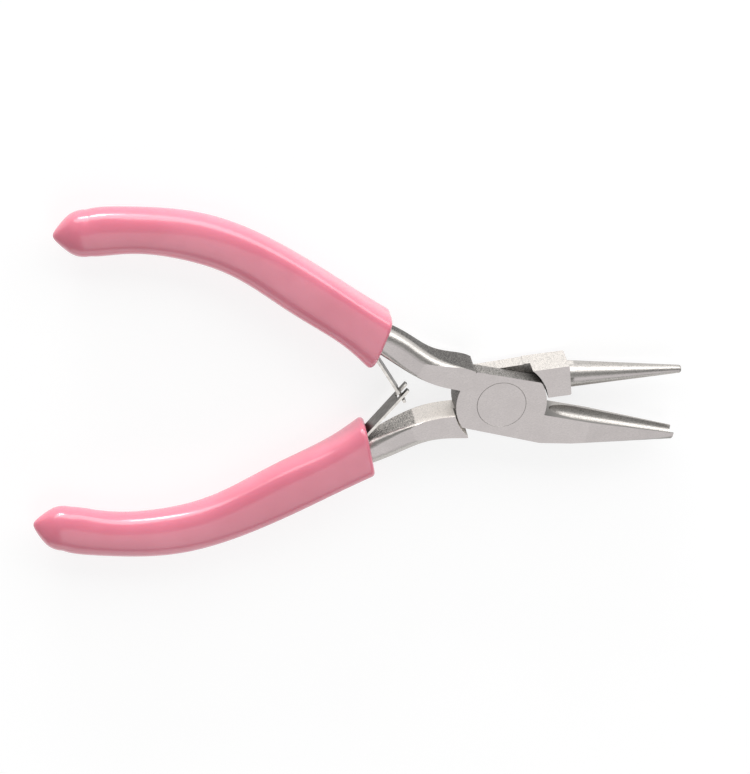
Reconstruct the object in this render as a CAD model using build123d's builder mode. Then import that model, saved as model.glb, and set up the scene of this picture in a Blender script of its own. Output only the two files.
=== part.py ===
"""Mini jewellery pliers with one round jaw and one hollow jaw, a lap joint and a double leaf spring.

Frame: millimetres, origin on the pivot axis at the joint's back face, +X towards the jaw tips,
+Y towards the round jaw, +Z along the pivot axis towards the front face.

Each half is drawn in its own straight frame, where its jaw runs along local +x, its handle lies
on the local +y side and its lap plate is at the top of local z. The two halves are the same
forging turned over, apart from the jaw, and each is swung HALF_OPEN away from the closed tool.
"""
import os
from math import copysign, cos, radians, sin, tau

from build123d import *

# ---------------------------------------------------------------- general
# How far a cutting shape runs past what it cuts, and the width of one that spans the whole tool.
CUT_MARGIN = 1.0
TOOL_SPAN = 300.0

# ---------------------------------------------------------------- joint
JOINT_THICKNESS = 6.4
LAP_GAP = 0.10
HALF_OPEN = 10.5
PLATE_END_RADIUS = 8.4
SHOULDER_RADIUS = 8.7
PLATE_CORNER = 0.8
MID = JOINT_THICKNESS / 2
PLATE_FLOOR = MID + LAP_GAP / 2

# Corners of the quadrilateral that trims each lap plate, from its handle end's outer corner.
FRONT_PLATE_TRIM = ((-9.0, 5.38), (9.0, 6.07), (9.0, -6.13), (-9.0, -6.13))
BACK_PLATE_TRIM = ((-9.0, 6.13), (9.0, 5.86), (9.0, -6.1), (-9.0, -5.53))

# ---------------------------------------------------------------- pivot rivet
RIVET_SHANK_RADIUS = 3.0
RIVET_HEAD_RADIUS = 4.53
RIVET_HEAD_DEPTH = 1.3
RIVET_RIM_CHAMFER = 0.05
FIXED_CLEARANCE = 0.02
RUNNING_CLEARANCE = 0.06

# ---------------------------------------------------------------- handles
MOUTH_CENTRE = Vector(-24.6, 7.04)
HANDLE_CORNER = Vector(-62.96, 21.75)
HANDLE_TIP = Vector(-87.54, 13.57)
HANDLE_BEND_RADIUS = 45.4
# Each arm station: centre x, centre y, direction, half width on the inner side, half width on the
# outer side, thickness, inner corner radius, outer corner radius. The rough forging is thicker
# than the joint at its root, and the joint's two flat faces are ground through it.
ARM_STATIONS = (
    (-8.9, 3.3, 180, 2.20, 2.45, 6.9, 0.40, 0.50),
    (-13.6, 3.4, 174, 2.10, 2.62, 6.8, 0.40, 1.55),
    (-19.3, 5.0, 159, 2.28, 2.85, 5.9, 0.80, 2.00),
    (-24.6, 7.04, 159, 2.56, 2.70, 5.3, 1.60, 2.20),
)
# The arms' roots, which lie inside the joint; the back half's is a little wider.
FRONT_ARM_ROOT = (-6.6, 3.3, 180, 2.25, 2.17, 6.9, 0.40, 0.50)
BACK_ARM_ROOT = (-6.6, 3.3, 180, 2.25, 2.80, 6.9, 0.40, 0.50)
TANG_START = 6.5
TANG_HALF_WIDTH = 2.4
TANG_CORNER = 2.1
TANG_END_GAP = 9.0

# ---------------------------------------------------------------- hollow jaw
JAW_ROOT_X = 5.0
HEEL_X = 9.3
JAW_DEPTH = 6.13
JAW_TIP_X = 34.0
JAW_EDGE_ROOT = Vector(8.2, -0.36)
JAW_EDGE_TIP = Vector(JAW_TIP_X, 0.52)
JAW_TIP_BOTTOM = -1.25
SIDE_TAPER_X = 17.5
TIP_HALF_THICKNESS = 1.6
ROUNDING_ROOT_RADIUS = 7.25
ROUNDING_TIP_RADIUS = 1.8
GROOVE_START = 1.7
GROOVE_RUN_IN = 5.6
GROOVE_FULL_RADIUS = 2.6
GROOVE_TIP_RADIUS = 1.3
GROOVE_AXIS_LIFT = 0.15

# ---------------------------------------------------------------- round jaw
BOX_END_X = 13.0
BOX_DEPTH = 6.1
BOX_TOP = -0.17
BOX_FILLET = 0.3
CONE_BASE = Vector(BOX_END_X, -2.9)
CONE_TIP = Vector(34.08, -0.76)
CONE_BASE_RADIUS = 2.5
CONE_TIP_RADIUS = 0.72
CONE_TIP_FILLET = 0.4
CONE_ROOT_DEPTH = 1.0

# ---------------------------------------------------------------- grips
GRIP_CLEARANCE = 0.08
# A grip's section is a closed curve whose fullness runs from 2, an ellipse, towards a rectangle.
# Each grip station: distance behind the mouth, half width on the inner side, half width on the
# outer side, thickness, inner fullness, outer fullness.
GRIP_STATIONS = (
    (-3.0, 6.14, 4.66, 7.8, 3.2, 4.2),
    (0.0, 5.77, 4.61, 7.8, 3.2, 4.2),
    (5.0, 4.91, 4.48, 7.7, 3.2, 4.2),
    (12.0, 4.81, 4.54, 7.4, 3.0, 4.0),
    (22.0, 4.80, 4.61, 7.0, 2.8, 3.4),
    (32.0, 4.51, 4.44, 6.7, 2.6, 2.8),
    (44.0, 4.41, 4.41, 6.4, 2.4, 2.4),
    (54.0, 4.38, 4.38, 6.2, 2.3, 2.3),
)
SECTION_POINTS = 24
GRIP_LEAD = 3.0
# Each nose station: distance in front of the tip, half width. The nose is flattened like the tail.
NOSE_STATIONS = (
    (6.4, 4.32),
    (5.6, 4.31),
    (4.9, 4.26),
    (4.2, 4.11),
    (3.5, 3.84),
    (2.8, 3.41),
    (2.2, 2.91),
    (1.6, 2.33),
    (1.0, 1.69),
    (0.5, 1.09),
    (0.15, 0.57),
    (0.0, 0.21),
)
NOSE_FLATNESS = 0.71
NOSE_FULLNESS = 2.3
MOUTH_SLANT = 16.0
MOUTH_FILLET = 0.8
SEAT_OFFSET = 2.45
SEAT_DEPTH = 2.0
SEAT_START = -1.2
SEAT_END = 9.5
POCKET_WIDTH = 4.3
POCKET_MOUTH_DEPTH = 4.85
POCKET_NECK_DEPTH = 3.95
POCKET_LEAD = 4.0
POCKET_NECK_AT = 1.8
POCKET_END_AT = 10.5

# ---------------------------------------------------------------- leaf springs
FOOT_OFFSET = 2.75
FOOT_BEND_AT = 0.8
LEAF_ANGLE = -44.5
LEAF_LENGTH = 11.58
LEAF_WIDTH = 3.6
LEAF_THICKNESS = 0.5
LEAF_BEND_RADIUS = 1.0
LEAF_FOOT_LENGTH = 4.6
NECK_WIDTH = 1.3
NECK_START = -1.0
HEAD_START = 0.75
HEAD_END = 1.45
HEAD_WIDTH = 2.6
SLOT_WIDTH = 1.7
FORK_END = 1.9
FOOT_RIVET_SETBACK = 3.0
FOOT_RIVET_RADIUS = 0.8
FOOT_RIVET_HOLE_RADIUS = 0.9
FOOT_RIVET_HEAD_RADIUS = 1.4
FOOT_RIVET_HEAD_HEIGHT = 0.5
FOOT_RIVET_HEAD_FILLET = 0.3
FOOT_RIVET_DEPTH = 2.2

# ---------------------------------------------------------------- frames of the two halves
FRONT = Plane(
    origin=(0, 0, 0),
    x_dir=(cos(radians(HALF_OPEN)), -sin(radians(HALF_OPEN)), 0),
    z_dir=(0, 0, 1),
)
BACK = Plane(
    origin=(0, 0, JOINT_THICKNESS),
    x_dir=(cos(radians(HALF_OPEN)), sin(radians(HALF_OPEN)), 0),
    z_dir=(0, 0, -1),
)
HANDLE_RUN = (HANDLE_CORNER - MOUTH_CENTRE).normalized()
TAIL_RUN = (HANDLE_TIP - HANDLE_CORNER).normalized()
HANDLE_INWARD = Vector(HANDLE_RUN.Y * -1, HANDLE_RUN.X)
LEAF_BEND = MOUTH_CENTRE + HANDLE_RUN * FOOT_BEND_AT + HANDLE_INWARD * FOOT_OFFSET
LEAF_RUN = Vector(cos(radians(LEAF_ANGLE)), sin(radians(LEAF_ANGLE)))


def direction_in(frame, local):
    """A direction of a half's straight frame, seen from the world."""
    return (frame.from_local_coords(local) - frame.origin).normalized()


def point_in(frame, local, height=MID):
    """A point of a half's straight frame, by default on the joint's mid plane, seen from the world."""
    return frame.from_local_coords(Vector(local.X, local.Y, height))


def level(frame, height):
    """The straight frame's sketch plane at a height above its far face."""
    return frame.offset(height)


def plane_along(frame, start, run):
    """A sketch plane on the mid plane with its x along run and its y across it."""
    return Plane(
        origin=point_in(frame, start),
        x_dir=direction_in(frame, run),
        z_dir=frame.z_dir,
    )


def plane_across(frame, centre, run):
    """A section plane square to run, with its x pointing away from the other handle."""
    along = direction_in(frame, run)
    return Plane(origin=point_in(frame, centre), x_dir=along.cross(frame.z_dir), z_dir=along)


def handle_line(frame, start_shift, end_gap):
    """The bent centre line of a handle, from start_shift behind the mouth to end_gap off its tip."""
    with BuildLine() as line:
        FilletPolyline(
            MOUTH_CENTRE + HANDLE_RUN * start_shift,
            HANDLE_CORNER,
            HANDLE_TIP - TAIL_RUN * end_gap,
            radius=HANDLE_BEND_RADIUS,
        )
    return line.wire().moved(level(frame, MID).location)


def section_on(frame, line, distance):
    """The section plane at a distance along a handle line."""
    along = line.tangent_at(distance, position_mode=PositionMode.LENGTH)
    return Plane(
        origin=line.position_at(distance, position_mode=PositionMode.LENGTH),
        x_dir=along.cross(frame.z_dir),
        z_dir=along,
    )


def rounded_section(plane, inner, outer, thickness, inner_corner, outer_corner):
    """A rectangle from -inner to +outer whose inner and outer corners round differently."""
    with BuildSketch(plane) as section:
        with Locations(((outer - inner) / 2, 0)):
            Rectangle(outer + inner, thickness)
        fillet(section.vertices().group_by(Axis.X)[0], inner_corner)
        fillet(section.vertices().group_by(Axis.X)[-1], outer_corner)
    return section.sketch


def handle_core(frame, arm_root, clearance=0.0):
    """The forged arm and its round tang, grown by a clearance where it bores the grip."""
    tang_line = handle_line(frame, TANG_START, TANG_END_GAP - clearance)
    tang_half = TANG_HALF_WIDTH + clearance
    sections = [
        rounded_section(
            plane_across(frame, Vector(x, y), Vector(cos(radians(angle)), sin(radians(angle)))),
            inner + clearance,
            outer + clearance,
            thickness + 2 * clearance,
            inner_corner,
            outer_corner,
        )
        for x, y, angle, inner, outer, thickness, inner_corner, outer_corner in (
            arm_root, *ARM_STATIONS)
    ]
    tang_section = rounded_section(
        section_on(frame, tang_line, 0), tang_half, tang_half, 2 * tang_half, TANG_CORNER, TANG_CORNER)
    with BuildPart() as core:
        loft([*sections, tang_section])
        sweep(tang_section, path=tang_line)
    return core.part


def rivet_cutter(clearance):
    """The pivot rivet's shape, grown radially by a clearance: a shank between two countersunk heads."""
    head = RIVET_HEAD_RADIUS + clearance
    shank = RIVET_SHANK_RADIUS + clearance
    with BuildPart() as rivet:
        with BuildSketch(Plane.XZ):
            with BuildLine():
                Polyline(
                    (0, 0),
                    (head, 0),
                    (shank, RIVET_HEAD_DEPTH),
                    (shank, JOINT_THICKNESS - RIVET_HEAD_DEPTH),
                    (head, JOINT_THICKNESS),
                    (0, JOINT_THICKNESS),
                    close=True,
                )
            make_face()
        revolve(axis=Axis.Z)
    return rivet.part


def lap_plate(frame, trim):
    """The half-thickness plate over the pivot: a disc trimmed on its handle side and its jaw side."""
    with BuildPart() as plate:
        with BuildSketch(level(frame, PLATE_FLOOR)) as outline:
            Circle(PLATE_END_RADIUS)
            with BuildLine():
                Polyline(*trim, close=True)
            make_face(mode=Mode.INTERSECT)
            free_corner = outline.vertices().sort_by_distance((PLATE_END_RADIUS, PLATE_END_RADIUS))[0]
            fillet(free_corner, PLATE_CORNER)
        extrude(amount=JOINT_THICKNESS - PLATE_FLOOR)
    return plate.part


def pocket(frame):
    """The round room that the other half's plate turns in."""
    with BuildPart() as room:
        with BuildSketch(level(frame, -CUT_MARGIN)):
            Circle(SHOULDER_RADIUS)
        extrude(amount=PLATE_FLOOR + CUT_MARGIN)
    return room.part


def joint_slab(frame):
    """Everything between the joint's two ground faces."""
    with BuildPart() as slab:
        with BuildSketch(level(frame, 0)):
            Rectangle(TOOL_SPAN, TOOL_SPAN)
        extrude(amount=JOINT_THICKNESS)
    return slab.part


def full_section(plane, inner, outer, thickness, inner_fullness, outer_fullness):
    """A smooth closed curve from -inner to +outer, fuller than an ellipse where the fullness is over 2."""
    outline = []
    for step in range(SECTION_POINTS):
        across, up = cos(tau * step / SECTION_POINTS), sin(tau * step / SECTION_POINTS)
        half_width, fullness = (outer, outer_fullness) if across > 0 else (inner, inner_fullness)
        outline.append((
            copysign(half_width * abs(across) ** (2 / fullness), across),
            copysign(thickness / 2 * abs(up) ** (2 / fullness), up),
        ))
    with BuildSketch(plane) as section:
        with BuildLine():
            Spline(*outline, periodic=True)
        make_face()
    return section.sketch


def grip_body(frame):
    """The outside of a dipped grip: a swelling sleeve round the handle line with a conical nose."""
    line = handle_line(frame, -GRIP_LEAD, 0)
    sleeve_sections = [
        full_section(
            section_on(frame, line, GRIP_LEAD + behind_mouth),
            inner, outer, thickness, inner_fullness, outer_fullness)
        for behind_mouth, inner, outer, thickness, inner_fullness, outer_fullness in GRIP_STATIONS
    ]
    nose_sections = [
        full_section(
            section_on(frame, line, line.length - before_tip),
            half_width, half_width, 2 * half_width * NOSE_FLATNESS, NOSE_FULLNESS, NOSE_FULLNESS)
        for before_tip, half_width in NOSE_STATIONS
    ]
    with BuildPart() as body:
        loft([*sleeve_sections, nose_sections[0]])
        loft(nose_sections)
    return body.part


def mouth_rim(frame, grip):
    """The outer edges of a grip's slanted mouth."""
    mouth = grip.faces().filter_by(GeomType.PLANE).sort_by_distance(point_in(frame, MOUTH_CENTRE))[0]
    return mouth.outer_wire().edges()


def leaf_seat(frame):
    """What is milled off an arm's inner side to give the leaf's foot a flat seat."""
    with BuildPart() as seat:
        with BuildSketch(plane_along(frame, MOUTH_CENTRE, HANDLE_RUN)):
            with Locations(((SEAT_START + SEAT_END) / 2, SEAT_OFFSET)):
                Rectangle(SEAT_END - SEAT_START, SEAT_DEPTH, align=(Align.CENTER, Align.MIN))
        extrude(amount=JOINT_THICKNESS, both=True)
    return seat.part


def grip_bore(frame, arm_root):
    """The room inside a grip: the arm and tang with a little clearance, and the leaf's pocket."""
    with BuildPart() as bore:
        add(handle_core(frame, arm_root, GRIP_CLEARANCE))
        with BuildSketch(plane_along(frame, MOUTH_CENTRE, HANDLE_RUN)):
            with BuildLine():
                Polyline(
                    (-POCKET_LEAD, 0),
                    (-POCKET_LEAD, POCKET_MOUTH_DEPTH),
                    (-POCKET_NECK_AT, POCKET_MOUTH_DEPTH),
                    (POCKET_NECK_AT, POCKET_NECK_DEPTH),
                    (POCKET_END_AT, POCKET_NECK_DEPTH),
                    (POCKET_END_AT, 0),
                    close=True,
                )
            make_face()
        extrude(amount=POCKET_WIDTH / 2, both=True)
    return bore.part


def mouth_block(frame):
    """Everything in front of a grip's slanted mouth."""
    slant = radians(MOUTH_SLANT)
    across = HANDLE_RUN * sin(slant) - HANDLE_INWARD * cos(slant)
    with BuildPart() as block:
        with BuildSketch(plane_along(frame, MOUTH_CENTRE, across)):
            Rectangle(TOOL_SPAN, TOOL_SPAN, align=(Align.CENTER, Align.MAX))
        extrude(amount=JOINT_THICKNESS, both=True)
    return block.part


def leaf_strip(frame, tip_at):
    """A bent strip: a foot along the handle and a blade towards the other leaf, tip_at long."""
    foot_end = LEAF_BEND + HANDLE_RUN * LEAF_FOOT_LENGTH
    blade_end = LEAF_BEND + LEAF_RUN * tip_at
    with BuildPart() as strip:
        with BuildSketch(level(frame, MID)):
            with BuildLine():
                FilletPolyline(foot_end, LEAF_BEND, blade_end, radius=LEAF_BEND_RADIUS)
            trace(line_width=LEAF_THICKNESS)
        extrude(amount=LEAF_WIDTH / 2, both=True)
    return strip.part


def blade_plane(frame):
    """The plane of a leaf's blade, with its origin at the crossing and its x towards the blade's end."""
    along = direction_in(frame, LEAF_RUN)
    return Plane(
        origin=point_in(frame, LEAF_BEND + LEAF_RUN * LEAF_LENGTH),
        x_dir=along,
        z_dir=along.cross(frame.z_dir),
    )


def foot_rivet_line(frame):
    """The plane under a leaf's foot rivet: origin on the arm's centre line, z pointing inwards."""
    return Plane(
        origin=point_in(frame, MOUTH_CENTRE + HANDLE_RUN * (FOOT_BEND_AT + FOOT_RIVET_SETBACK)),
        x_dir=direction_in(frame, HANDLE_RUN),
        z_dir=direction_in(frame, HANDLE_INWARD),
    )


def foot_rivet(frame):
    """The small rivet that holds a leaf's foot: a shank in the arm and a low head on the foot."""
    foot_top = FOOT_OFFSET + LEAF_THICKNESS / 2
    with BuildPart() as rivet:
        with BuildSketch(foot_rivet_line(frame).offset(foot_top - FOOT_RIVET_DEPTH)):
            Circle(FOOT_RIVET_RADIUS)
        extrude(amount=FOOT_RIVET_DEPTH)
        with BuildSketch(foot_rivet_line(frame).offset(foot_top)):
            Circle(FOOT_RIVET_HEAD_RADIUS)
        extrude(amount=FOOT_RIVET_HEAD_HEIGHT)
        head_rim = rivet.edges().filter_by(GeomType.CIRCLE).group_by(
            Axis(foot_rivet_line(frame).origin, foot_rivet_line(frame).z_dir))[-1]
        fillet(head_rim, FOOT_RIVET_HEAD_FILLET)
    return rivet.part


def foot_rivet_hole(frame, radius):
    """A hole for the foot rivet, from its buried end outwards."""
    foot_top = FOOT_OFFSET + LEAF_THICKNESS / 2
    with BuildPart() as hole:
        with BuildSketch(foot_rivet_line(frame).offset(foot_top - FOOT_RIVET_DEPTH - FIXED_CLEARANCE)):
            Circle(radius)
        extrude(amount=FOOT_RIVET_DEPTH + CUT_MARGIN)
    return hole.part


# ---------------------------------------------------------------- pivot rivet
with BuildPart() as pivot_rivet:
    add(rivet_cutter(0))
    head_rims = pivot_rivet.edges().filter_by(GeomType.CIRCLE).group_by(SortBy.RADIUS)[-1]
    chamfer(head_rims, RIVET_RIM_CHAMFER)


# ---------------------------------------------------------------- front half, with the hollow jaw
EDGE_RUN = (JAW_EDGE_TIP - JAW_EDGE_ROOT).normalized()
EDGE_NORMAL = Vector(-EDGE_RUN.Y, EDGE_RUN.X)
EDGE_LENGTH = (JAW_EDGE_TIP - JAW_EDGE_ROOT).length

with BuildPart() as hollow_jaw:
    with BuildSketch(level(FRONT, 0)):
        with BuildLine():
            Polyline(
                (JAW_ROOT_X, JAW_EDGE_ROOT.Y),
                (JAW_EDGE_ROOT.X, JAW_EDGE_ROOT.Y),
                (JAW_EDGE_TIP.X, JAW_EDGE_TIP.Y),
                (JAW_TIP_X, JAW_TIP_BOTTOM),
                (HEEL_X, -JAW_DEPTH),
                (JAW_ROOT_X, -JAW_DEPTH),
                close=True,
            )
        make_face()
    extrude(amount=JOINT_THICKNESS)
    with BuildSketch(Plane(origin=point_in(FRONT, Vector(0, 0)), x_dir=FRONT.x_dir, z_dir=FRONT.y_dir)):
        with BuildLine():
            Polyline(
                (JAW_ROOT_X - CUT_MARGIN, MID),
                (SIDE_TAPER_X, MID),
                (JAW_TIP_X + CUT_MARGIN, TIP_HALF_THICKNESS),
                (JAW_TIP_X + CUT_MARGIN, -TIP_HALF_THICKNESS),
                (SIDE_TAPER_X, -MID),
                (JAW_ROOT_X - CUT_MARGIN, -MID),
                close=True,
            )
        make_face()
    extrude(amount=2 * JAW_DEPTH, both=True, mode=Mode.INTERSECT)
    with BuildSketch(plane_along(FRONT, JAW_EDGE_ROOT, EDGE_RUN)):
        with BuildLine():
            Polyline(
                (-JAW_ROOT_X, 0),
                (-JAW_ROOT_X, 2 * JAW_DEPTH),
                (0, 2 * JAW_DEPTH),
                (0, ROUNDING_ROOT_RADIUS),
                (EDGE_LENGTH, ROUNDING_TIP_RADIUS),
                (EDGE_LENGTH, 0),
                close=True,
            )
        make_face()
    revolve(axis=Axis(point_in(FRONT, JAW_EDGE_ROOT), direction_in(FRONT, EDGE_RUN)), mode=Mode.INTERSECT)
    with BuildSketch(plane_along(FRONT, JAW_EDGE_ROOT + EDGE_RUN * GROOVE_START
                                 + EDGE_NORMAL * GROOVE_AXIS_LIFT, EDGE_RUN)):
        with BuildLine():
            Polyline(
                (0, 0),
                (EDGE_LENGTH, 0),
                (EDGE_LENGTH, GROOVE_TIP_RADIUS),
                (GROOVE_RUN_IN, GROOVE_FULL_RADIUS),
            )
            EllipticalCenterArc(
                (GROOVE_RUN_IN, 0), GROOVE_RUN_IN, GROOVE_FULL_RADIUS, start_angle=90, arc_size=90)
        make_face()
    revolve(
        axis=Axis(point_in(FRONT, JAW_EDGE_ROOT + EDGE_NORMAL * GROOVE_AXIS_LIFT),
                  direction_in(FRONT, EDGE_RUN)),
        mode=Mode.SUBTRACT,
    )

with BuildPart() as front_half:
    add(handle_core(FRONT, FRONT_ARM_ROOT))
    add(hollow_jaw.part)
    add(joint_slab(FRONT), mode=Mode.INTERSECT)
    add(pocket(FRONT), mode=Mode.SUBTRACT)
    add(lap_plate(FRONT, FRONT_PLATE_TRIM))
    add(leaf_seat(FRONT), mode=Mode.SUBTRACT)
    add(rivet_cutter(FIXED_CLEARANCE), mode=Mode.SUBTRACT)
    add(foot_rivet_hole(FRONT, FOOT_RIVET_RADIUS + FIXED_CLEARANCE), mode=Mode.SUBTRACT)

# ---------------------------------------------------------------- back half, with the round jaw
CONE_RUN = (CONE_TIP - CONE_BASE).normalized()
CONE_LENGTH = (CONE_TIP - CONE_BASE).length

with BuildPart() as back_half:
    add(handle_core(BACK, BACK_ARM_ROOT))
    with BuildSketch(level(BACK, 0)) as box_outline:
        with BuildLine():
            Polyline(
                (JAW_ROOT_X, BOX_TOP),
                (BOX_END_X, BOX_TOP),
                (BOX_END_X, -BOX_DEPTH),
                (JAW_ROOT_X, -BOX_DEPTH),
                close=True,
            )
        make_face()
        fillet(box_outline.vertices().group_by(Axis.X)[-1], BOX_FILLET)
    extrude(amount=JOINT_THICKNESS)
    with BuildSketch(plane_along(BACK, CONE_BASE, CONE_RUN)) as cone_outline:
        with BuildLine():
            Polyline(
                (-CONE_ROOT_DEPTH, 0),
                (-CONE_ROOT_DEPTH, CONE_BASE_RADIUS),
                (0, CONE_BASE_RADIUS),
                (CONE_LENGTH, CONE_TIP_RADIUS),
                (CONE_LENGTH, 0),
                close=True,
            )
        make_face()
        fillet(
            cone_outline.vertices().sort_by_distance((CONE_LENGTH, CONE_TIP_RADIUS))[0], CONE_TIP_FILLET)
    revolve(axis=Axis(point_in(BACK, CONE_BASE), direction_in(BACK, CONE_RUN)))
    add(joint_slab(BACK), mode=Mode.INTERSECT)
    add(pocket(BACK), mode=Mode.SUBTRACT)
    add(lap_plate(BACK, BACK_PLATE_TRIM))
    add(leaf_seat(BACK), mode=Mode.SUBTRACT)
    add(rivet_cutter(RUNNING_CLEARANCE), mode=Mode.SUBTRACT)
    add(foot_rivet_hole(BACK, FOOT_RIVET_RADIUS + FIXED_CLEARANCE), mode=Mode.SUBTRACT)

# ---------------------------------------------------------------- grips
with BuildPart() as upper_grip:
    add(grip_body(FRONT))
    add(mouth_block(FRONT), mode=Mode.SUBTRACT)
    fillet(mouth_rim(FRONT, upper_grip), MOUTH_FILLET)
    add(grip_bore(FRONT, FRONT_ARM_ROOT), mode=Mode.SUBTRACT)

with BuildPart() as lower_grip:
    add(grip_body(BACK))
    add(mouth_block(BACK), mode=Mode.SUBTRACT)
    fillet(mouth_rim(BACK, lower_grip), MOUTH_FILLET)
    add(grip_bore(BACK, BACK_ARM_ROOT), mode=Mode.SUBTRACT)

# ---------------------------------------------------------------- leaf springs and their rivets
with BuildPart() as upper_spring_leaf:
    add(leaf_strip(FRONT, LEAF_LENGTH + HEAD_END))
    with BuildSketch(blade_plane(FRONT)):
        for side in (-1, 1):
            with Locations(
                ((NECK_START + HEAD_START) / 2, side * (NECK_WIDTH + LEAF_WIDTH) / 4),
            ):
                Rectangle(HEAD_START - NECK_START, (LEAF_WIDTH - NECK_WIDTH) / 2)
            with Locations(
                ((HEAD_START + HEAD_END) / 2, side * (HEAD_WIDTH + LEAF_WIDTH) / 4),
            ):
                Rectangle(HEAD_END - HEAD_START, (LEAF_WIDTH - HEAD_WIDTH) / 2)
    extrude(amount=LEAF_THICKNESS, both=True, mode=Mode.SUBTRACT)
    add(foot_rivet_hole(FRONT, FOOT_RIVET_HOLE_RADIUS), mode=Mode.SUBTRACT)

with BuildPart() as lower_spring_leaf:
    add(leaf_strip(BACK, LEAF_LENGTH + FORK_END))
    with BuildSketch(blade_plane(BACK)):
        with Locations(((NECK_START + FORK_END) / 2, 0)):
            Rectangle(FORK_END - NECK_START, SLOT_WIDTH)
    extrude(amount=LEAF_THICKNESS, both=True, mode=Mode.SUBTRACT)
    add(foot_rivet_hole(BACK, FOOT_RIVET_HOLE_RADIUS), mode=Mode.SUBTRACT)

with BuildPart() as upper_spring_rivet:
    add(foot_rivet(FRONT))

with BuildPart() as lower_spring_rivet:
    add(foot_rivet(BACK))

# ---------------------------------------------------------------- export
os.makedirs("parts", exist_ok=True)
for node, piece in (
    ("front_half", front_half),
    ("back_half", back_half),
    ("pivot_rivet", pivot_rivet),
    ("upper_grip", upper_grip),
    ("lower_grip", lower_grip),
    ("upper_spring_leaf", upper_spring_leaf),
    ("lower_spring_leaf", lower_spring_leaf),
    ("upper_spring_rivet", upper_spring_rivet),
    ("lower_spring_rivet", lower_spring_rivet),
):
    piece.part.label = node
    export_step(piece.part, f"parts/{node}.step")
    print(node, round(piece.part.volume, 2), piece.part.is_valid, piece.part.bounding_box())
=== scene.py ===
"""Looks for the small looping pliers: camera, light, floor and procedural materials over the CAD frame."""
import math

import bpy
from mathutils import Matrix, Vector


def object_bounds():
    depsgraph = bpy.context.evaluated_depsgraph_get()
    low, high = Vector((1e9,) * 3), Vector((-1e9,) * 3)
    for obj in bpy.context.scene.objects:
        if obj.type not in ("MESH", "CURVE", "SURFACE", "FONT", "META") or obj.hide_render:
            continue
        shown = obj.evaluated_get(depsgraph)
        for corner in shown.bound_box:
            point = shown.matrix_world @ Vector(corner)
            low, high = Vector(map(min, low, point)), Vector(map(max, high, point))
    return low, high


MM = 0.001

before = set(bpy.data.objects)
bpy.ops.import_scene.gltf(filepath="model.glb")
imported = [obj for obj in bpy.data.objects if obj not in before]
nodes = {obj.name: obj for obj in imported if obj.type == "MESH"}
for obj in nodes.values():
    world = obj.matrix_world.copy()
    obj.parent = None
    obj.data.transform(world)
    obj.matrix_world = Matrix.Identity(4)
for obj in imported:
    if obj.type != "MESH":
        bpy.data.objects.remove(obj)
cad_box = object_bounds()
scene = bpy.context.scene

# ---------------------------------------------------------------- camera
CAMERA_PLACE = (-127.56, 294.16, 561.08)
CAMERA_RIGHT = Vector((0.98611, 0.10253, 0.13064))
CAMERA_BACK = Vector((-0.16341, 0.45865, 0.87347))
CAMERA_LENS = 162.8
SENSOR_WIDTH = 36.0
NEAREST = 0.01
FARTHEST = 20.0

back = CAMERA_BACK.normalized()
right = (CAMERA_RIGHT - back * CAMERA_RIGHT.dot(back)).normalized()
up = back.cross(right)
camera_data = bpy.data.cameras.new("camera")
camera_data.lens = CAMERA_LENS
camera_data.sensor_width = SENSOR_WIDTH
camera_data.sensor_fit = "AUTO"
camera_data.clip_start = NEAREST
camera_data.clip_end = FARTHEST
camera = bpy.data.objects.new("camera", camera_data)
scene.collection.objects.link(camera)
camera.matrix_world = Matrix((
    (right.x, up.x, back.x, CAMERA_PLACE[0] * MM),
    (right.y, up.y, back.y, CAMERA_PLACE[1] * MM),
    (right.z, up.z, back.z, CAMERA_PLACE[2] * MM),
    (0, 0, 0, 1),
))
scene.camera = camera


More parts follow.
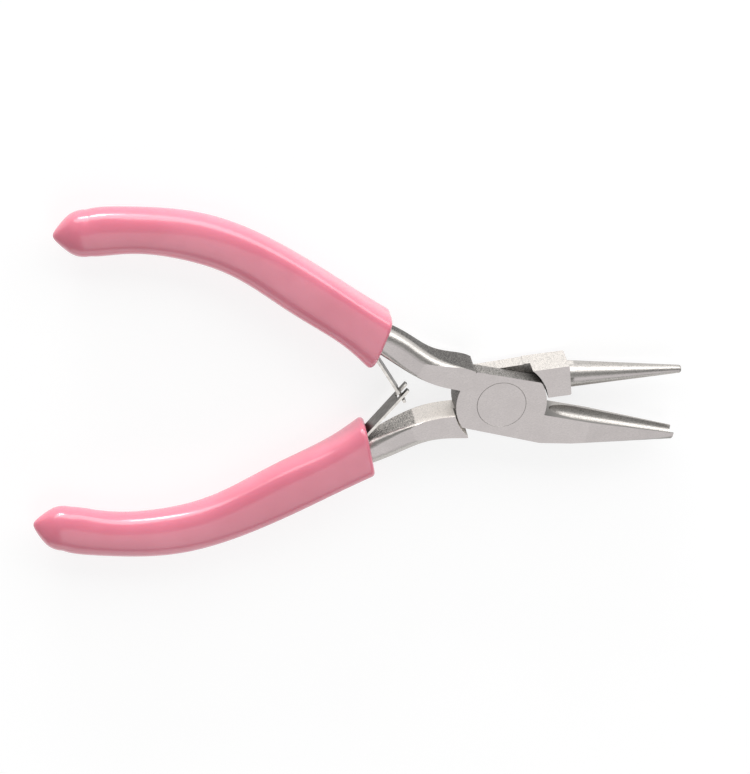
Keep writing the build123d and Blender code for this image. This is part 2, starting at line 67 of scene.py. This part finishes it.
# ---------------------------------------------------------------- node helpers
class Shade:
    """A small helper that adds and links the nodes of one material."""

    def __init__(self, name):
        self.material = bpy.data.materials.new(name)
        self.material.use_nodes = True
        self.tree = self.material.node_tree
        self.shader = self.tree.nodes["Principled BSDF"]
        texture_space = self.add("ShaderNodeTexCoord")
        self.coordinates = texture_space.outputs["Object"]
        self.place = self.add("ShaderNodeSeparateXYZ", Vector=self.coordinates).outputs
        self.facing = self.add("ShaderNodeSeparateXYZ", Vector=texture_space.outputs["Normal"]).outputs

    def add(self, kind, **inputs):
        """A node with some of its inputs set or linked by name."""
        node = self.tree.nodes.new(kind)
        for name, value in inputs.items():
            self.put(node.inputs[name], value)
        return node

    def put(self, socket, value):
        """Sets a socket to a constant, or links an output to it."""
        if isinstance(value, bpy.types.NodeSocket):
            self.tree.links.new(value, socket)
        else:
            socket.default_value = value

    def stretched(self, scale, rotation=(0, 0, 0)):
        """The object's coordinates, in metres, turned and scaled."""
        mapping = self.add("ShaderNodeMapping", Vector=self.coordinates)
        mapping.inputs["Scale"].default_value = scale
        mapping.inputs["Rotation"].default_value = rotation
        return mapping.outputs["Vector"]

    def noise(self, scale, detail=3.0, roughness=0.55, vector=None, distortion=0.0):
        """Noise from 0 to 1 with a grain of about 1 / scale metres."""
        node = self.add(
            "ShaderNodeTexNoise",
            Vector=vector or self.coordinates,
            Scale=scale,
            Detail=detail,
            Roughness=roughness,
            Distortion=distortion,
        )
        return node.outputs["Fac"]

    def math(self, operation, *values):
        """One maths node."""
        node = self.tree.nodes.new("ShaderNodeMath")
        node.operation = operation
        for socket, value in zip(node.inputs, values):
            self.put(socket, value)
        return node.outputs[0]

    def between(self, value, low, high, to_low=0.0, to_high=1.0):
        """Maps low..high smoothly to to_low..to_high and clamps; low may be the larger one."""
        node = self.tree.nodes.new("ShaderNodeMapRange")
        node.interpolation_type = "SMOOTHSTEP"
        for name, item in (("Value", value), ("From Min", low), ("From Max", high),
                           ("To Min", to_low), ("To Max", to_high)):
            self.put(node.inputs[name], item)
        return node.outputs["Result"]

    def mix(self, factor, first, second):
        """A colour between two colours."""
        node = self.tree.nodes.new("ShaderNodeMix")
        node.data_type = "RGBA"
        self.put(node.inputs[0], factor)
        self.put(node.inputs[6], first)
        self.put(node.inputs[7], second)
        return node.outputs[2]

    def bump(self, height, strength, distance, normal=None):
        """A bump on top of another normal."""
        node = self.add("ShaderNodeBump", Height=height, Strength=strength, Distance=distance)
        if normal is not None:
            self.put(node.inputs["Normal"], normal)
        return node.outputs["Normal"]

    def finish(self, **inputs):
        """Puts values and links on the shader and returns the material."""
        for name, value in inputs.items():
            self.put(self.shader.inputs[name.replace("_", " ")], value)
        return self.material


# ---------------------------------------------------------------- materials
# Along x: where each arm's machined side begins, where the lap plate begins and ends, and how far back the
# pocket under a plate reaches. Then the rivet's outline and the joint's thickness.
MILLED_FROM = -15.4 * MM
PLATE_FROM = -5.6 * MM
PLATE_TO = 8.2 * MM
POCKET_FROM = -11.5 * MM
BACK_JAW_FROM = 13.0 * MM
RIVET_SEAM = 4.54 * MM
SEAM_INSIDE = 0.025 * MM
SEAM_OUTSIDE = 0.060 * MM
JOINT_FRONT = 6.4 * MM
# Noise grains, in grains per metre.
PEBBLE_GRAIN = 4300
BLOTCH_GRAIN = 420
GROUND_GRAIN = 5200
STREAK_GRAIN = 2600
# How light the jaws' round surfaces are: at the root, low down and high up. The round jaw is even; on the
# hollow jaw the dark root and the dark upper part are painted shade.
ROUND_JAW_TONES = (0.58, 0.58, 0.58)
HOLLOW_JAW_PAINTED_SHADE = (0.22, 0.60, 0.30)


def warm(value):
    """The warm grey of nickel plate."""
    return (value, value * 0.955, value * 0.905, 1)


def rosy(value):
    """The pinkish grey of finely ground nickel."""
    return (value, value * 0.930, value * 0.915, 1)


def forged_steel(name, machined_side, jaw_from, jaw_shade_tones=ROUND_JAW_TONES):
    """Nickel-plated forging: pebbled sides, milled inner sides, smooth corners and ground flat faces. The
    colour also holds a painted dark reflection on the outer sides and shoulders, painted shade on the sunk
    pocket floors and, where the jaw's tones differ, painted shade on the jaw.

    machined_side is +1 or -1: the y side that is milled between the arm and the jaw.
    jaw_shade_tones is how light the jaw's round surfaces are: at its root, low down and high up; where
    they differ they are painted shade.
    """
    s = Shade(name)
    facing_up = s.math("ABSOLUTE", s.facing["Z"])
    flat = s.between(facing_up, 0.970, 0.990)
    side = s.between(facing_up, 0.45, 0.10)
    toward = s.math("MULTIPLY", s.facing["Y"], machined_side)
    on_plate = s.between(s.place["X"], PLATE_FROM - 0.6 * MM, PLATE_FROM + 0.6 * MM)
    on_jaw = s.between(s.place["X"], jaw_from - 0.2 * MM, jaw_from + 0.2 * MM)
    milled = s.math(
        "MULTIPLY",
        s.between(toward, 0.15, 0.45),
        s.between(s.place["X"], MILLED_FROM - 0.15 * MM, MILLED_FROM + 0.15 * MM),
    )

    pebble = s.noise(PEBBLE_GRAIN, detail=2.0, roughness=0.7)
    blotch = s.noise(BLOTCH_GRAIN, detail=3.0)
    grain = s.noise(GROUND_GRAIN, detail=2.0, vector=s.stretched((0.55, 1.6, 1.0)))
    streak = s.noise(STREAK_GRAIN, detail=3.0, vector=s.stretched((0.05, 1.0, 1.0)))
    light_pebble = s.between(pebble, 0.36, 0.64)

    # Painted dark reflection: sides near the shoulder, and sides facing away from the machined side, get a
    # darker pebbled colour. It stands in for dark surroundings mirrored in them.
    painted_dark_reflection = s.between(s.place["X"], -15.0 * MM, -12.0 * MM)
    painted_dark_reflection = s.math("MAXIMUM", painted_dark_reflection, s.between(toward, -0.1, -0.4))
    rough_painted_dark = s.mix(light_pebble, warm(0.06), warm(0.25))
    rough_light = s.mix(light_pebble, warm(0.20), warm(0.78))
    rough_skin = s.mix(painted_dark_reflection, rough_light, rough_painted_dark)
    plate_skin = s.mix(light_pebble, warm(0.15), warm(0.46))
    milled_grain = s.between(pebble, 0.30, 0.62)
    milled_skin = s.mix(milled_grain, warm(0.54), warm(0.84))
    milled_skin = s.mix(on_plate, s.mix(milled_grain, warm(0.76), warm(0.98)), milled_skin)
    # Painted shade on the jaw: where the root and upper tones are lower than the tone low down, the jaw is
    # darkened there.
    root_tone, low_tone, high_tone = jaw_shade_tones
    jaw_skin = s.mix(s.between(s.place["Z"], 1.8 * MM, 3.8 * MM), warm(low_tone), warm(high_tone))
    root = s.between(s.place["X"], jaw_from + 0.6 * MM, jaw_from + 3.4 * MM)
    jaw_skin = s.mix(root, warm(root_tone), jaw_skin)
    jaw_skin = s.mix(s.between(streak, 0.3, 0.7, 0.0, 0.2), jaw_skin, warm(0.42))
    jaw_skin = s.mix(s.between(pebble, 0.34, 0.56, 0.6, 0.0), jaw_skin, warm(0.22))
    corner_skin = s.mix(light_pebble, warm(0.46), warm(0.58))
    side_skin = s.mix(on_plate, rough_skin, plate_skin)
    side_skin = s.mix(milled, side_skin, milled_skin)
    skin = s.mix(side, corner_skin, side_skin)
    skin = s.mix(on_jaw, skin, jaw_skin)

    depth = s.math("ABSOLUTE", s.math("SUBTRACT", s.place["Z"], JOINT_FRONT / 2))
    ground = s.between(depth, JOINT_FRONT / 2 - 0.3 * MM, JOINT_FRONT / 2 - 0.2 * MM)
    ground = s.math("MAXIMUM", ground, on_jaw)
    ground = s.math("MAXIMUM", ground, s.between(s.place["X"], POCKET_FROM, POCKET_FROM - 0.5 * MM))
    ground_skin = s.mix(s.between(grain, 0.3, 0.7), rosy(0.46), rosy(0.57))
    ground_skin = s.mix(s.between(blotch, 0.35, 0.75, 0.0, 0.4), ground_skin, rosy(0.46))
    # Painted shade: flat faces sunk below the outer faces, the pocket floors under a plate, get a dark
    # pebbled colour for the shade that falls there.
    pocket_painted_shade = s.mix(light_pebble, warm(0.16), warm(0.34))
    flat_skin = s.mix(ground, pocket_painted_shade, ground_skin)
    radius = s.math("SQRT", s.math(
        "ADD", s.math("POWER", s.place["X"], 2), s.math("POWER", s.place["Y"], 2)))
    off_seam = s.math("ABSOLUTE", s.math("SUBTRACT", radius, RIVET_SEAM))
    flat_skin = s.mix(s.between(off_seam, SEAM_INSIDE, SEAM_OUTSIDE), warm(0.18), flat_skin)

    smooth = s.math("MAXIMUM", flat, s.math("MAXIMUM", on_jaw, s.math("SUBTRACT", 1.0, side)))
    pebble_height = s.math("MULTIPLY", pebble, s.between(smooth, 0.0, 1.0, 1.0, 0.22))
    normal = s.bump(pebble_height, 0.5, 0.00009)
    normal = s.bump(grain, 0.10, 0.00002, normal)
    roughness = s.between(smooth, 0.0, 1.0, 0.52, 0.30)
    roughness = s.math("ADD", roughness, s.between(grain, 0.3, 0.7, 0.0, 0.08))
    return s.finish(
        Base_Color=s.mix(flat, skin, flat_skin),
        Metallic=1.0,
        Roughness=roughness,
        Normal=normal,
    )


def spring_steel(name):
    """Rolled strip: dark on its broad faces, light on its sheared edges, with lengthwise lines."""
    s = Shade(name)
    lines = s.noise(2500, detail=3.0, vector=s.stretched((0.3, 0.3, 2.0)))
    spots = s.noise(900, detail=3.0)
    edge = s.between(s.math("ABSOLUTE", s.facing["Z"]), 0.6, 0.9)
    face_skin = s.mix(s.between(lines, 0.3, 0.7), warm(0.14), warm(0.22))
    edge_skin = s.mix(s.between(lines, 0.3, 0.7), warm(0.64), warm(0.82))
    return s.finish(
        Base_Color=s.mix(edge, face_skin, edge_skin),
        Metallic=1.0,
        Roughness=s.between(spots, 0.3, 0.7, 0.32, 0.46),
        Normal=s.bump(lines, 0.25, 0.00004),
    )


def grip_vinyl(name):
    """Dipped pink vinyl: glossy, a little translucent, with slow waves and a faint orange peel."""
    s = Shade(name)
    wave = s.noise(70, detail=2.0)
    peel = s.noise(1100, detail=2.0)
    fleck = s.noise(260, detail=4.0)
    colour = s.mix(s.between(wave, 0.3, 0.7), (0.74, 0.185, 0.265, 1), (0.79, 0.215, 0.300, 1))
    colour = s.mix(s.between(fleck, 0.45, 0.8, 0.0, 0.3), colour, (0.68, 0.165, 0.235, 1))
    normal = s.bump(wave, 0.12, 0.0006)
    normal = s.bump(peel, 0.04, 0.00005, normal)
    return s.finish(
        Base_Color=colour,
        Roughness=s.between(fleck, 0.3, 0.7, 0.30, 0.38),
        Normal=normal,
        Subsurface_Weight=0.12,
        Subsurface_Scale=0.0015,
        Coat_Weight=1.0,
        Coat_IOR=1.62,
        Coat_Roughness=0.18,
    )


def give(node, material):
    """Replaces a CAD node's material."""
    slots = nodes[node].material_slots
    if not slots:
        nodes[node].data.materials.append(material)
    for slot in slots:
        slot.material = material


give("front_half", forged_steel("front_half_look", -1, PLATE_TO, HOLLOW_JAW_PAINTED_SHADE))
give("back_half", forged_steel("back_half_look", 1, BACK_JAW_FROM))
give("pivot_rivet", forged_steel("rivet_look", 1, PLATE_TO))
rivet_skin = forged_steel("spring_rivet_look", 1, PLATE_TO)
strip = spring_steel("spring_steel_look")
vinyl = grip_vinyl("grip_vinyl_look")
for side_name in ("upper", "lower"):
    give(f"{side_name}_spring_rivet", rivet_skin)
    give(f"{side_name}_spring_leaf", strip)
    give(f"{side_name}_grip", vinyl)

# ---------------------------------------------------------------- floor and light
FLOOR_SIZE = 6.0
FLOOR_GAP = 0.1 * MM
FLOOR_GLOW = 0.78
WORLD_STRENGTH = 0.32
bpy.ops.mesh.primitive_plane_add(size=FLOOR_SIZE, location=(0, 0, cad_box[0].z - FLOOR_GAP))
floor = bpy.context.object
floor.name = "floor"
paper = Shade("paper")
paper_tone = paper.noise(30, detail=3.0)
floor.data.materials.append(paper.finish(
    Base_Color=paper.mix(paper_tone, (0.26, 0.26, 0.26, 1), (0.28, 0.28, 0.28, 1)),
    Roughness=0.9,
    Emission_Color=(1, 1, 1, 1),
    Emission_Strength=FLOOR_GLOW,
))


def softbox(name, place, size, power, target=(-0.025, 0, 0.003)):
    """A rectangular area light that faces the tool."""
    light = bpy.data.lights.new(name, "AREA")
    light.shape = "RECTANGLE"
    light.size, light.size_y = size
    light.energy = power
    lamp = bpy.data.objects.new(name, light)
    lamp.location = place
    direction = Vector(target) - Vector(place)
    lamp.rotation_euler = direction.to_track_quat("-Z", "Y").to_euler()
    scene.collection.objects.link(lamp)
    return lamp


softbox("key", (0.15, 1.20, 0.50), (3.0, 0.85), 22)
softbox("streak", (-0.28, 1.16, 0.14), (0.40, 0.12), 5.5)
softbox("overhead", (0.25, -0.55, 1.05), (0.9, 0.9), 2.4)
softbox("low_fill", (0.1, -1.1, 0.30), (1.6, 0.5), 2.2)

world = bpy.data.worlds.new("studio")
scene.world = world
world.use_nodes = True
world.node_tree.nodes["Background"].inputs["Color"].default_value = (1, 1, 1, 1)
world.node_tree.nodes["Background"].inputs["Strength"].default_value = WORLD_STRENGTH
scene.view_settings.view_transform = "Standard"
